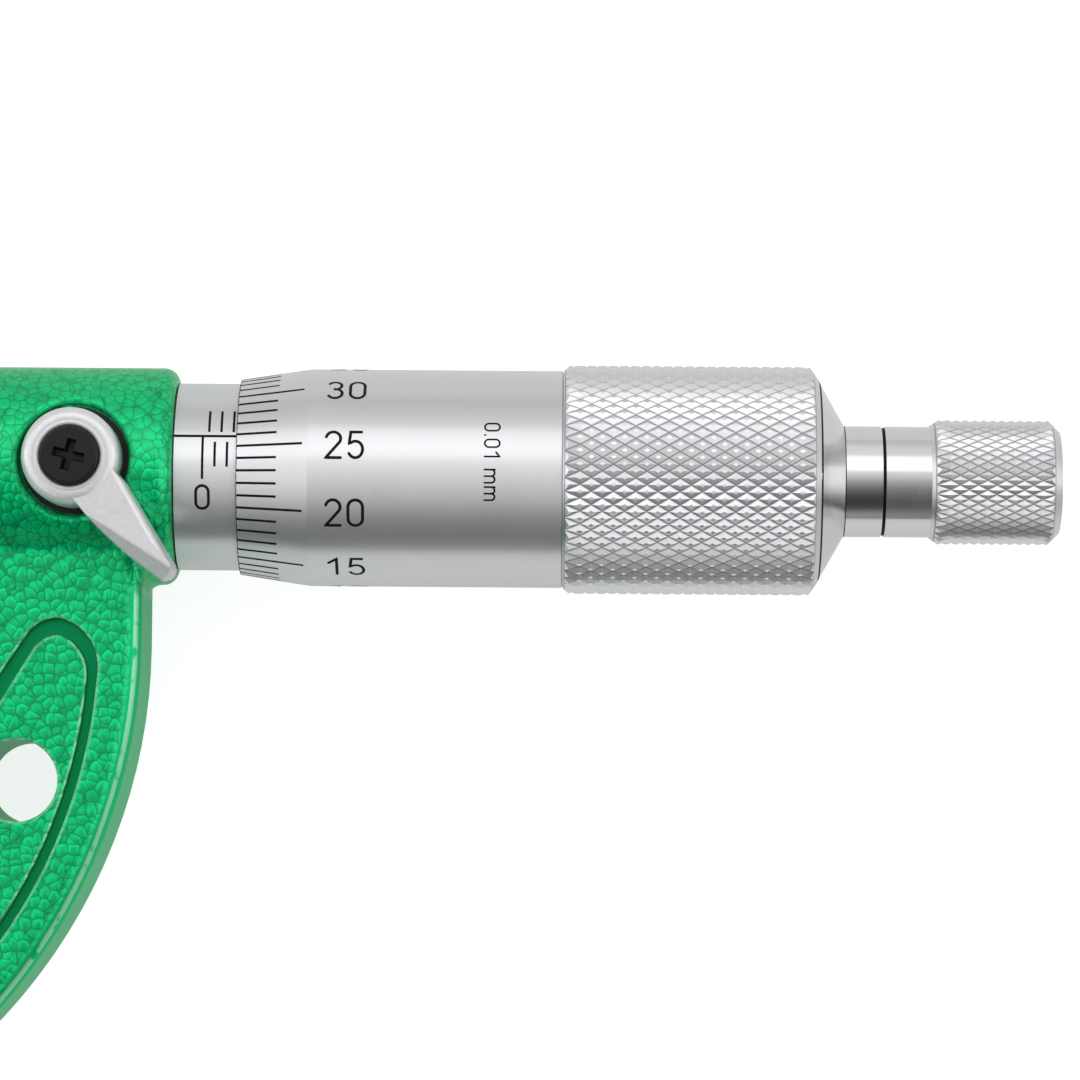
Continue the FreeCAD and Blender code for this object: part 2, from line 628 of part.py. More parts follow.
def make_adjusting_nut():
    """Round nut that closes the slit cone to take up wear"""
    body = new_body("adjusting_nut")
    left, right = "adjuster_left", "adjuster_right"
    turned(
        body,
        "nut",
        [(left, cone_radius_at(left)), (right, cone_radius_at(right)),
         (right, "adjuster_radius"), (left, "adjuster_radius")],
    )
    slot_sketch = new_sketch(body, "slot_outline")
    deep = f"{right} - adjuster_slot_depth"
    beyond = f"{right} + overcut"
    draw_outline(
        slot_sketch,
        [(deep, "-adjuster_slot / 2"), (beyond, "-adjuster_slot / 2"),
         (beyond, "adjuster_slot / 2"), (deep, "adjuster_slot / 2")],
    )
    across = "2 * (adjuster_radius + overcut)"
    extruded(body, "wrench_slots", slot_sketch, across, cut=True, middle=True)
    return [body]


def make_lock_bed():
    """Black washer on the pocket's floor and the brass pad between stud and spindle"""
    washer = new_body("lock_washer")
    ring = new_sketch(washer, "washer_rings", offset=("lock_x", "lock_rise", "lock_floor"))
    draw_circle(ring, "0", "0", "washer_radius")
    draw_circle(ring, "0", "0", "lock_stud_radius + part_gap")
    extruded(washer, "washer", ring, "washer_thickness")
    pad = new_body("lock_pad")
    disc = new_sketch(pad, "pad_circle", offset=("lock_x", "lock_rise", "0"))
    draw_circle(disc, "0", "0", "pad_radius")
    extruded(pad, "pad", disc, "lock_stud_foot")
    hollow = new_sketch(pad, "spindle_circle", role="YZ_Plane", offset=("0", "0", "lock_x"))
    draw_circle(hollow, "0", "0", "guide_radius")
    extruded(pad, "spindle_hollow", hollow, "4 * pad_radius", cut=True, middle=True)
    return [washer, pad]


# Parts that slide with the spindle


def make_spindle():
    body = new_body("spindle")
    face = "reading + tip_thickness"
    turned(
        body,
        "shaft",
        [
            (face, "0"),
            ("stud_right", "0"),
            ("stud_right", "stud_radius - tip_chamfer"),
            ("stud_right - tip_chamfer", "stud_radius"),
            ("taper_right", "stud_radius"),
            ("taper_right", "taper_end_radius"),
            ("web_left", "taper_radius"),
            ("web_left - part_gap", "taper_radius"),
            ("web_left - part_gap", "thread_radius"),
            ("screw_left", "thread_radius"),
            ("screw_left - thread_relief", "spindle_radius"),
            (face, "spindle_radius"),
        ],
    )
    tip = new_body("spindle_tip")
    turned(tip, "spindle_disc", cylinder_profile("reading", face, "spindle_radius", "tip_chamfer"))
    return [body, tip]


# Knurled grips. Two sets of slanting valleys cross and leave a point between each four crossings


def flat_face(corners):
    return Part.Face(Part.makePolygon(corners + corners[:1]))


def on_circle(x, radius, angle):
    return FreeCAD.Vector(x, radius * math.cos(angle), radius * math.sin(angle))


def point_faces(peak, crossings, radius, outward):
    """Faces of one point of a knurl, whose top is cut flat at the radius if the peak stands above it"""
    height = peak.dot(outward) - radius
    if height < NEAR:
        return [flat_face([peak, crossings[i - 1], crossing]) for i, crossing in enumerate(crossings)]
    top = []
    for crossing in crossings:
        share = height / (peak - crossing).dot(outward)
        top.append(peak + (crossing - peak) * share)
    faces = [flat_face(top)]
    for i, crossing in enumerate(crossings):
        faces.append(flat_face([top[i], top[i - 1], crossings[i - 1], crossing]))
    return faces


def diamond_knurl(left, right, radius, depth, pitch, spacing, flat, rims):
    """Faces of a diamond knurl from left to right, and the corners of the two rings that it runs out to.

    The rims are the place and radius of each ring, and a chamfer joins each to the knurl's end.
    """
    rows = 2 * max(1, round((right - left) / pitch))
    columns = 2 * max(3, round(2 * math.pi * radius / spacing))
    turn = 2 * math.pi / columns
    valley = radius - depth
    peak_radius = valley + depth / (1 - flat)
    ends = dict(zip((0, rows), rims))

    def place(row):
        return left + (right - left) * row / rows

    def crossing(row, column):
        """Where two valleys cross; at the knurl's ends that is on the chamfer"""
        x = place(row)
        if row in ends:
            rim_place, rim_radius = ends[row]
            x += (rim_place - x) * depth / (radius - rim_radius)
        return on_circle(x, valley, column * turn)

    faces = []
    for row in range(1, rows):
        for column in range(row % 2, columns, 2):
            peak = on_circle(place(row), peak_radius, column * turn)
            around = [crossing(row - 1, column), crossing(row, column + 1),
                      crossing(row + 1, column), crossing(row, column - 1)]
            faces += point_faces(peak, around, radius, on_circle(0, 1, column * turn))
    rings = []
    for row, inner_row in ((0, 1), (rows, rows - 1)):
        ring = [on_circle(*ends[row], column * turn) for column in range(columns)]
        edge = [crossing(row, column) for column in range(columns)]
        for column in range(0, columns, 2):
            edge[column] = on_circle(place(row), radius, column * turn)
            inner = crossing(inner_row, column)
            for beside in (column - 1, column + 1):
                faces.append(flat_face([edge[column], edge[beside], inner]))
        for column in range(columns):
            faces.append(flat_face([ring[column - 1], ring[column], edge[column], edge[column - 1]]))
        rings.append(ring)
    return faces, rings


def knurled_piece(name, knurl_formulas, rims, profile):
    """A turned piece with a knurl: its open profile runs from inside the first rim to inside the last"""
    rims = [(value(x), value(radius)) for x, radius in rims]
    faces, rings = diamond_knurl(*(value(formula) for formula in knurl_formulas), rims)
    corners = [FreeCAD.Vector(value(x), value(radius), 0) for x, radius in profile]
    plain = Part.makePolygon(corners).revolve(FreeCAD.Vector(), FreeCAD.Vector(1, 0, 0), 360)
    for ring, corner in zip(rings, (corners[0], corners[-1])):
        centre = FreeCAD.Vector(corner.x, 0, 0)
        inner = next(
            edge for edge in plain.Edges
            if edge.isClosed() and edge.CenterOfMass.isEqual(centre, NEAR)
            and abs(edge.Length - 2 * math.pi * corner.y) < NEAR
        )
        outer = Part.makePolygon(ring + ring[:1])
        faces.append(Part.makeFace([outer, Part.Wire([inner])], "Part::FaceMakerBullseye"))
    shell = Part.makeShell(faces + plain.Faces)
    shell.sewShape()
    solid = Part.makeSolid(shell if shell.ShapeType == "Shell" else shell.Shells[0])
    if solid.Volume < 0:
        solid.reverse()
    piece = doc.addObject("Part::Feature", name)
    piece.Label = name
    piece.Shape = solid
    piece.Placement = FreeCAD.Placement()
    return piece


# Parts that turn with the thimble


def make_thimble():
    """Graduated bevel, plain part, knurled grip and web with the cone seat, turned in one piece"""
    groove = "grip_left - knurl_chamfer"
    knurl = (
        "grip_left", "grip_right", "knurl_radius", "knurl_depth", "knurl_pitch", "knurl_spacing", "knurl_flat",
    )
    rims = [(groove, "thimble_radius"), ("thimble_right", "thimble_end_radius")]
    profile = [
        (groove, "thimble_radius - part_gap"),
        (f"{groove} - part_gap", "thimble_radius"),
        ("bevel_right", "thimble_radius"),
        ("thimble_left", "thimble_edge_radius"),
        ("thimble_left", "thimble_bore"),
        ("web_left", "thimble_bore"),
        ("web_left", "taper_radius + running_gap"),
        ("taper_right", "taper_end_radius + running_gap"),
        ("thimble_right - cap_spigot_length", "taper_end_radius + running_gap"),
        ("thimble_right - cap_spigot_length", "cap_spigot_radius"),
        ("thimble_right", "cap_spigot_radius"),
    ]
    return [knurled_piece("thimble", knurl, rims, profile)]


def make_thimble_cap():
    """Cone cap whose spigot screws into the thimble and draws it onto the spindle's cone"""
    body = new_body("thimble_cap")
    turned(
        body,
        "cone",
        [
            ("thimble_right - cap_spigot_length", "cap_bore"),
            ("cap_right", "cap_bore"),
            ("cap_right", "cap_end_radius"),
            ("thimble_right", "thimble_end_radius - cap_step"),
            ("thimble_right", "cap_spigot_radius"),
            ("thimble_right - cap_spigot_length", "cap_spigot_radius"),
        ],
    )
    return [body]


def cut_crown(body, name, root, tip):
    """Notches the face of a toothed ring; root and tip are places along the axis"""
    sketch = new_sketch(body, name + "_notch_outline", offset=("0", "0", "(pilot_radius + crown_inner) / 2"))
    pitch = "(2 * pi * crown_outer / crown_teeth)"
    beyond = f"{tip} + ({tip} - ({root}))"
    wide = f"crown_notch * {pitch}"
    draw_outline(sketch, [(root, "0"), (beyond, "0"), (beyond, f"2 * {wide}"), (tip, wide)])
    notch = extruded(body, name + "_notch", sketch, "crown_outer", cut=True)
    repeated(body, name + "_notches", notch, (sketch, ["H_Axis"]), "crown_teeth")


def make_ratchet_base():
    """Neck screwed on the spindle's end, with a ring of ratchet teeth and a pilot"""
    body = new_body("ratchet_base")
    turned(
        body,
        "neck",
        [
            ("base_left", "stud_radius + running_gap"),
            ("stud_right + part_gap", "stud_radius + running_gap"),
            ("stud_right + part_gap", "0"),
            ("pilot_right - screw_grip", "0"),
            ("pilot_right - screw_grip", "screw_radius"),
            ("pilot_right", "screw_radius"),
            ("pilot_right", "pilot_radius"),
            ("crown_left", "pilot_radius"),
            ("crown_left", "crown_outer"),
            ("base_right", "crown_outer"),
            ("base_right", "neck_radius"),
            ("cap_right", "neck_radius"),
            ("cap_right", "cap_bore"),
            ("base_left", "cap_bore"),
        ],
    )
    turned(
        body,
        "crown",
        [("base_right", "crown_inner"), ("crown_right", "crown_inner"),
         ("crown_right", "crown_outer"), ("base_right", "crown_outer")],
    )
    cut_crown(body, "base", "crown_left", "crown_right")
    return [body]


def make_ratchet_screw():
    body = new_body("ratchet_screw")
    head_left = "web_right + part_gap / 2"
    turned(
        body,
        "screw",
        [
            ("pilot_right - screw_grip", "0"),
            (f"{head_left} + screw_head_height", "0"),
            (f"{head_left} + screw_head_height", "screw_head_radius - tip_chamfer"),
            (f"{head_left} + screw_head_height - tip_chamfer", "screw_head_radius"),
            (head_left, "screw_head_radius"),
            (head_left, "screw_radius"),
            ("pilot_right - screw_grip", "screw_radius"),
        ],
    )
    slot_sketch = new_sketch(body, "slot_outline")
    deep = f"{head_left} + screw_head_height / 2"
    beyond = f"{head_left} + screw_head_height + overcut"
    draw_outline(
        slot_sketch,
        [(deep, "-screw_slot / 2"), (beyond, "-screw_slot / 2"),
         (beyond, "screw_slot / 2"), (deep, "screw_slot / 2")],
    )
    extruded(body, "slot", slot_sketch, "2 * (screw_head_radius + overcut)", cut=True, middle=True)
    return [body]


# Parts that turn with the ratchet knob


def make_ratchet_knob():
    """Neck and knurled knob in one piece, with a wall inside and a recess for the screw's head"""
    knurl = (
        "knob_grip_left", "knob_grip_right", "knob_radius",
        "knob_knurl_depth", "knob_knurl_pitch", "knob_knurl_spacing", "0",
    )
    rims = [("neck_right", "neck_radius + part_gap / 2"), ("knob_right", "knob_radius - knob_end_chamfer")]
    profile = [
        ("neck_right", "neck_radius"),
        ("knob_left", "neck_radius"),
        ("knob_left", "knob_bore"),
        ("spring_stop", "knob_bore"),
        ("spring_stop", "screw_radius + running_gap"),
        ("web_right", "screw_radius + running_gap"),
        ("web_right", "knob_recess_radius"),
        ("knob_right", "knob_recess_radius"),
    ]
    return [knurled_piece("ratchet_knob", knurl, rims, profile)]


def make_toothed_ring():
    body = new_body("ratchet_ring")
    turned(
        body,
        "ring",
        [("ring_left", "crown_inner"), ("ring_right", "crown_inner"),
         ("ring_right", "knob_bore - part_gap / 2"), ("ring_left + crown_height", "knob_bore - part_gap / 2"),
         ("ring_left + crown_height", "crown_outer"), ("ring_left", "crown_outer")],
    )
    cut_crown(body, "ring", "ring_left + crown_height - part_gap", "ring_left")
    return [body]


def make_spring():
    """Compression spring between the toothed ring and the wall inside the knob"""
    body = new_body("ratchet_spring")
    sketch = new_sketch(body, "wire_circle")
    draw_circle(sketch, "ring_right + spring_wire", "spring_radius", "spring_wire")
    coil = body.newObject("PartDesign::AdditiveHelix", "coil")
    coil.Profile = sketch
    coil.ReferenceAxis = (sketch, ["H_Axis"])
    coil.Mode = "height-turns-angle"
    coil.setExpression("Height", bound("spring_stop - ring_right - 2 * spring_wire"))
    coil.setExpression("Turns", bound("spring_turns"))
    doc.recompute()
    return [body]


# Parts that turn with the lock lever


def about_pivot(z="0"):
    """Sketch offset on an XZ plane that puts its upright axis on the lever's pivot"""
    return ("lock_x", z, "-lock_rise")


def make_lock_stud():
    body = new_body("lock_stud")
    bottom = "lock_stud_foot"
    profile = [
        ("0", bottom), ("lock_stud_radius - tip_chamfer", bottom),
        ("lock_stud_radius", f"{bottom} + tip_chamfer"), ("lock_stud_radius", "lock_stud_top"),
        ("lock_screw_shank", "lock_stud_top"), ("lock_screw_shank", "lock_head_bottom - lock_screw_depth"),
        ("0", "lock_head_bottom - lock_screw_depth"),
    ]
    turned(body, "stud", profile, role="XZ_Plane", axis="V_Axis", offset=about_pivot())
    return [body]


def make_lock_lever():
    """Ring with a horn-shaped arm whose underside clears the round hub as it swings"""
    body = new_body("lock_lever")
    arm_sketch = new_sketch(
        body, "arm_outline", offset=("lock_x", "lock_rise", "arm_tip_z"), turn="lever_angle * 1deg"
    )
    half = "lever_width / 2"
    tip = "lever_length - lever_tip_radius"
    draw_outline(
        arm_sketch,
        [
            ("lock_stud_radius / 2", f"-{half}"),
            ("lever_root", f"-{half}"),
            (tip, "-lever_tip_radius", "lever_bulge", "left"),
            ("lever_length", "0", "lever_tip_radius", "left"),
            (tip, "lever_tip_radius", "lever_tip_radius", "left"),
            ("lever_root", half),
            ("lock_stud_radius / 2", half),
        ],
    )
    extruded(body, "arm", arm_sketch, "arm_top - arm_tip_z", draft="-lever_draft * 1deg")
    bevel_sketch = new_sketch(
        body, "arm_bevel_outline", offset=("lock_x", "lock_rise", "arm_top"), turn="lever_angle * 1deg"
    )
    far = "(lever_length + overcut)"
    draw_outline(
        bevel_sketch,
        [
            ("lever_bevel_start", f"-{half}"),
            ("lever_bevel_start", f"-{far}"),
            (far, f"-{far}"),
            (far, f"({far} - lever_bevel_start) * tan(lever_bevel_turn * 1deg) - {half}"),
        ],
    )
    bevel = extruded(
        body, "arm_bevel", bevel_sketch, "lever_bevel_depth", cut=True, backwards=True,
        draft="-lever_bevel_tilt * 1deg",
    )
    top, long_edge = value("arm_top"), value("lever_length / 2")

    def on_long_edge(edge):
        return edge.BoundBox.ZMin > top - NEAR and edge.Length > long_edge

    rounded(body, "arm_edges", bevel, on_long_edge, "lever_edge")
    turned(
        body,
        "arm_underside",
        [("0", "arm_tip_z - overcut"), ("lever_length + overcut", "arm_tip_z - overcut"),
         ("lever_length + overcut", "arm_tip_z"), ("lock_pocket_radius", "arm_root_z"), ("0", "arm_root_z")],
        cut=True, role="XZ_Plane", axis="V_Axis", offset=about_pivot(),
    )
    turned(
        body,
        "ring",
        [
            ("lock_stud_radius", "lever_bottom"),
            ("lever_radius", "lever_bottom"),
            ("lever_radius", "lever_top - lever_rounding"),
            ("lever_radius - lever_rounding", "lever_top", "lever_rounding", "left"),
            ("lock_stud_radius", "lever_top"),
        ],
        role="XZ_Plane", axis="V_Axis", offset=about_pivot(),
    )
    bevel = "lock_screw_radius + part_gap"
    turned(
        body,
        "screw_recess",
        [
            ("0", "lever_bottom - overcut"),
            ("lock_stud_radius", "lever_bottom - overcut"),
            ("lock_stud_radius", "lock_head_bottom"),
            (bevel, "lock_head_bottom"),
            (bevel, "lever_top - 2 * part_gap"),
            (f"{bevel} + 2 * part_gap", "lever_top"),
            (f"{bevel} + 2 * part_gap", "lever_top + overcut"),
            ("0", "lever_top + overcut"),
        ],
        cut=True, role="XZ_Plane", axis="V_Axis", offset=about_pivot(),
    )
    return [body]


def make_lock_screw():
    """Black screw with a cross recess that holds the lever on its stud"""
    body = new_body("lock_screw")
    turned(
        body,
        "screw",
        [
            ("0", "lock_head_bottom - lock_screw_depth"),
            ("lock_screw_shank", "lock_head_bottom - lock_screw_depth"),
            ("lock_screw_shank", "lock_head_bottom"),
            ("lock_screw_radius", "lock_head_bottom"),
            ("lock_screw_radius", "lock_head_top - tip_chamfer"),
            ("lock_screw_radius - tip_chamfer", "lock_head_top"),
            ("0", "lock_head_top"),
        ],
        role="XZ_Plane", axis="V_Axis", offset=about_pivot(),
    )
    cross = new_sketch(
        body, "cross_outline", offset=("lock_x", "lock_rise", "lock_head_top"), turn="recess_turn * 1deg",
    )
    near, far = "recess_arm / 2", "recess_span / 2"
    draw_outline(
        cross,
        [
            (far, f"-{near}"), (far, near), (near, near), (near, far), (f"-{near}", far), (f"-{near}", near),
            (f"-{far}", near), (f"-{far}", f"-{near}"), (f"-{near}", f"-{near}"), (f"-{near}", f"-{far}"),
            (near, f"-{far}"), (near, f"-{near}"),
        ],
    )
    extruded(body, "cross", cross, "recess_depth", cut=True, backwards=True, draft="-recess_draft * 1deg")
    return [body]


pieces = [make_frame()]
for make in (
    make_anvil, make_inner_sleeve, make_sleeve, make_adjusting_nut, make_lock_bed, make_spindle,
    make_thimble, make_thimble_cap, make_ratchet_base, make_ratchet_screw, make_ratchet_knob,
    make_toothed_ring, make_spring, make_lock_stud, make_lock_lever, make_lock_screw,
):
    pieces += make()
doc.recompute()

for item in doc.Objects:
    if "Invalid" in item.State or "Error" in item.State:
        raise RuntimeError(f"{item.Name} did not build: {item.State}")
for piece in pieces:
    if piece.Shape.isNull() or not piece.Shape.isValid():
        raise RuntimeError(f"{piece.Label} has no valid shape")
    print(f"{piece.Label:16s} solids {len(piece.Shape.Solids)}  volume {piece.Shape.Volume:10.3f}")

os.makedirs("parts", exist_ok=True)
for piece in pieces:
    piece.Shape.exportStep(f"parts/{piece.Label}.step")
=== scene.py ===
import json
import math

import bpy
import numpy as np
from mathutils import Matrix, Vector


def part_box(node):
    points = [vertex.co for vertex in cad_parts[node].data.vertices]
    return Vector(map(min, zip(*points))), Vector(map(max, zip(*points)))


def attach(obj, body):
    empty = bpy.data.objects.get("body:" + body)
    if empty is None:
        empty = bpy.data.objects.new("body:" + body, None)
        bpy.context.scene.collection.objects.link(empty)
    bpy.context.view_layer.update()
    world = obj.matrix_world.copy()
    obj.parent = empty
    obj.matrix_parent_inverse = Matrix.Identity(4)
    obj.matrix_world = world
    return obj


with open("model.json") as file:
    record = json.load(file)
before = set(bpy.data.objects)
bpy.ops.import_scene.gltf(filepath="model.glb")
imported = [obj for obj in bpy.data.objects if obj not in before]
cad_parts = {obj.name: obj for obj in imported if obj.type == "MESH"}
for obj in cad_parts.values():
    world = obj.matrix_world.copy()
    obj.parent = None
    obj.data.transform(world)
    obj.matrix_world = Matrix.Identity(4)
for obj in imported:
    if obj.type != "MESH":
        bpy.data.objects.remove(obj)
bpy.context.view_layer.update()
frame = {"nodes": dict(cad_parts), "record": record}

# Everything is in metres, and millimetre values are multiplied by MM.
# +X runs along the spindle, +Y up the picture and +Z towards the camera.
MM = 0.001

# Scale on the sleeve, in millimetres. Ticks run from one distance round the sleeve to another,
# counted from the datum line; s is such a distance too.
SLEEVE_RADIUS = 7.75
DATUM_ANGLE = math.radians(21.0)
DATUM_START = 70.12
DATUM_PAST_END = 1.2
DATUM_WIDTH = 0.22
ZERO_PLACE = 72.47
TRAVEL = 25
TICK_WIDTH = 0.2
HALF_TICK = (0.38, 2.5)
WHOLE_TICK = (-0.5, -2.6)
FIFTH_TICK = (0.0, -3.62)
SLEEVE_NUMBER = {"s": -5.12, "height": 1.92, "width": 0.23}

# Scale on the thimble, in millimetres. Places are counted from the thimble's left edge.
BEVEL_LENGTH = 5.85
EDGE_RADIUS = 8.1
THIMBLE_RADIUS = 9.0
THIMBLE_LINES = 50
LINE_AT_DATUM = 26
LINE_START = 0.05
SHORT_LINE = 3.3
LONG_LINE = 5.42
NUMBER_PLACE = 8.88
THIMBLE_NUMBER = {"s": -0.12, "height": 2.2, "width": 0.25}
WORD_PLACE = 20.9
WORD_ANGLE = math.radians(5.0)
THIMBLE_WORD = {"s": 0.0, "height": 1.22, "width": 0.15, "turned": True}
# Width of the dark ring of painted shade along the thimble's left edge
EDGE_SHADE = 0.07

# Ink stands a little above the face and reaches below it; its strokes are cut into short steps.
INK_HEIGHT = 0.006
INK_DEPTH = 0.03
INK_STEP = 0.12

# Knurls, cap, necks and the gap between them, in millimetres
KNURL_START = 101.5
GRIP_VALLEY = 9.12
KNOB_KNURL_DEPTH = 0.3
# How far up from the knurls' valleys their painted shade reaches
VALLEY_SHADE = 0.1
CAP_LENGTH = 2.15
CAP_END_RADIUS = 4.65
NECK_RADIUS = 4.6
NECK_LENGTH = 3.75
# The gap just left of the knob and the rings of painted shade: the gap's width, how deep its ring lies, how
# much narrower than the gap that ring is, and how far the cap seam's ring stands over the cone
STOP_GAP = 0.27
STOP_GAP_DEPTH = 0.14
STOP_GAP_PLAY = 0.03
SEAM_LIFT = 0.04

# Painted shade along the seams, in millimetres: how far past an edge the middle of each dark ring lies, and
# its width
CAP_SEAM_SHADE = (0.09, 0.15)
NECK_SEAM_SHADE = (0.05, 0.07)

# How much the roughness of a turned metal varies
ROUGHNESS_SPREAD = 0.06

# Bow, in millimetres: below its top lie the grooved faces
BOW_TOP = -9.4
GROOVE_RIM = 6.35
GROOVE_FLOOR = 5.6
RIM_ROUNDING = 0.45

# Enamel: its colour, the pale green of its painted highlight and the tint of its gleam, and its pebbles a
# metre with how far their borders wander
GREEN = (0.001, 0.68, 0.228, 1)
HIGHLIGHT_GREEN = (0.42, 0.88, 0.58, 1)
GREEN_GLEAM = (0.3, 0.75, 0.5, 1)
PEBBLES = 1150.0
WANDER = 0.00032

# Lock screw's seat in the lever, in millimetres: its pivot, and its section as radius and height
PIVOT = (62.0, 0.76)
SEAT_PROFILE = ((2.45, 11.50), (2.47, 11.66), (2.56, 11.72), (2.70, 11.725), (2.82, 11.715), (2.90, 11.69))
SEAT_SIDES = 72

# Floor, in millimetres: on what the object lies, the gap under it, and half the floor's width
TOUCHING = ((104.0, 0.0, -9.47), (57.0, 0.0, -9.0), (12.0, -59.0, -6.4))
FLOOR_GAP = 0.02
FLOOR_REACH = 6000

# Surroundings that the metal mirrors: brightness by the angle about the X axis, in degrees. 0 is
# towards the camera, 90 up the picture and -90 down it. A ramp holds them as shares of BRIGHTEST.
BRIGHTEST = 1.8
CENTRE_LEVELS = (
    (-180, 0.8), (-95, 0.85), (-80, 0.6), (-70, 0.22), (-60, 0.05), (-46, 0.03), (-32, 0.07), (-18, 0.18),
    (-4, 0.42), (8, 0.78), (25, 0.98), (40, 0.92), (62, 0.95), (78, 0.9), (100, 0.86), (180, 0.8),
)
BESIDE_LEVELS = (
    (-180, 0.35), (-100, 0.2), (-78, 0.14), (-60, 0.36), (-45, 0.62), (-30, 1.1), (-10, 1.42), (30, 1.2),
    (48, 0.9), (70, 0.76), (84, 0.66), (180, 0.5),
)
STRIP_LEVEL = 1.6

# Lamp, in metres
LAMP_SIZE = (0.7, 0.36)
LAMP_LEVEL = 0.55
LAMP_PLACE = 0.09
LAMP_DISTANCE = 0.6
LAMP_LEAN = math.radians(34)

# Camera: its place in millimetres; its focal length with a last small correction, the picture's
# size and the point straight below the camera, in pixels
CAMERA_PLACE = (103.13, -33.19, 418.0)
CAMERA_ROLL = math.radians(0.45)
FOCAL = 5045.0
FOCAL_FIT = 1.0012
PHOTO = 1080
POINT_BELOW = (575.0, 880.0)
SENSOR_WIDTH = 36.0

thimble_left = float(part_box("thimble")[0][0]) / MM
knob_left = float(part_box("ratchet_knob")[0][0]) / MM
knob_valley = float(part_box("ratchet_knob")[1][2]) / MM - KNOB_KNURL_DEPTH
cap_right = float(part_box("thimble_cap")[1][0]) / MM
cap_radius = float(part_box("thimble_cap")[1][2]) / MM


def new_mesh(name, points, faces, smooth=False):
    """A mesh object from points in millimetres"""
    mesh = bpy.data.meshes.new(name)
    mesh.from_pydata([(x * MM, y * MM, z * MM) for x, y, z in points], [], faces)
    mesh.validate()
    if smooth:
        mesh.shade_smooth()
    piece = bpy.data.objects.new(name, mesh)
    bpy.context.scene.collection.objects.link(piece)
    return piece


# Shader nodes


def node(tree, kind, inputs=None, **settings):
    """A shader node; inputs are numbers, colours or the outputs of other nodes"""
    made = tree.nodes.new("ShaderNode" + kind)
    for name, setting in settings.items():
        setattr(made, name, setting)
    for key, source in (inputs or {}).items():
        if isinstance(source, bpy.types.NodeSocket):
            tree.links.new(source, made.inputs[key])
        else:
            made.inputs[key].default_value = source
    return made


def maths(tree, operation, first, second=0.5):
    return node(tree, "Math", {0: first, 1: second}, operation=operation).outputs[0]


def product(tree, first, *others):
    for other in others:
        first = maths(tree, "MULTIPLY", first, other)
    return first


def scaled(tree, source, factor, addend):
    """The source times a factor, plus an addend"""
    return node(tree, "Math", {0: source, 1: factor, 2: addend}, operation="MULTIPLY_ADD").outputs[0]


def blend(tree, factor, first, second):
    """A number between two others"""
    return node(tree, "Mix", {0: factor, 2: first, 3: second}, data_type="FLOAT").outputs[0]


def blend_colour(tree, factor, first, second, mode="MIX"):
    made = node(tree, "Mix", {0: factor, 6: first, 7: second}, data_type="RGBA", blend_type=mode)
    return made.outputs[2]


def ramp(tree, source, stops):
    """A colour ramp; each stop is a place and a grey level"""
    made = node(tree, "ValToRGB", {0: source})
    elements = made.color_ramp.elements
    while len(elements) < len(stops):
        elements.new(0.5)
    for element, (place, level) in zip(elements, stops):
        element.position = place
        element.color = (level, level, level, 1)
    return made.outputs[0]


def step(tree, source, start, end):
    """A smooth change from 0 at the start to 1 at the end"""
    inputs = {"Value": source, "From Min": start, "From Max": end, "To Min": 0.0, "To Max": 1.0}
    return node(tree, "MapRange", inputs, interpolation_type="SMOOTHSTEP").outputs[0]


def split(tree, vector):
    """The three parts of a vector"""
    return node(tree, "SeparateXYZ", {0: vector}).outputs


def unit(tree, vector):
    return node(tree, "VectorMath", {0: vector}, operation="NORMALIZE").outputs[0]


def coordinates(tree, kind):
    return node(tree, "TexCoord").outputs[kind]


def along_and_out(tree):
    """The place along the X axis, and the vector straight out from the axis"""
    along, up, out = split(tree, coordinates(tree, "Object"))
    return along, node(tree, "CombineXYZ", {0: 0.0, 1: up, 2: out}).outputs[0]


def noise(tree, vector, scale, detail, roughness=0.5):
    inputs = {"Vector": vector, "Scale": scale, "Detail": detail, "Roughness": roughness}
    return node(tree, "TexNoise", inputs).outputs["Fac"]


def stretched_noise(tree, scales, detail, roughness=0.5):
    """Noise in object coordinates, with its own scale along each axis"""
    place = node(tree, "Mapping", {"Vector": coordinates(tree, "Object"), "Scale": scales}).outputs[0]
    return noise(tree, place, 1.0, detail, roughness)


def bump(tree, height, distance, normal=None):
    inputs = {"Height": height, "Distance": distance, "Strength": 1.0}
    if normal:
        inputs["Normal"] = normal
    return node(tree, "Bump", inputs).outputs[0]


def new_material(name, **sockets):
    """A material with settings on the shader's own sockets; a name's spaces are underscores"""
    made = bpy.data.materials.new(name)
    made.use_nodes = True
    shader = made.node_tree.nodes["Principled BSDF"]
    for key, setting in sockets.items():
        shader.inputs[key.replace("_", " ")].default_value = setting
    return made, made.node_tree, shader


# Metals


def eased_facets(tree, share):
    """The surface's direction, on the knurl turned by a share towards the round face below it"""
    along, outwards = along_and_out(tree)
    normal = coordinates(tree, "Normal")
    facing = maths(tree, "ABSOLUTE", split(tree, normal)[0])
    on_knurl = product(tree, maths(tree, "GREATER_THAN", along, KNURL_START * MM),
                       maths(tree, "LESS_THAN", facing, 0.6))
    inputs = {0: product(tree, on_knurl, share), 4: normal, 5: unit(tree, outwards)}
    mixed = node(tree, "Mix", inputs, data_type="VECTOR").outputs[1]
    settings = {"vector_type": "NORMAL", "convert_from": "OBJECT", "convert_to": "WORLD"}
    return node(tree, "VectorTransform", {0: mixed}, **settings).outputs[0]


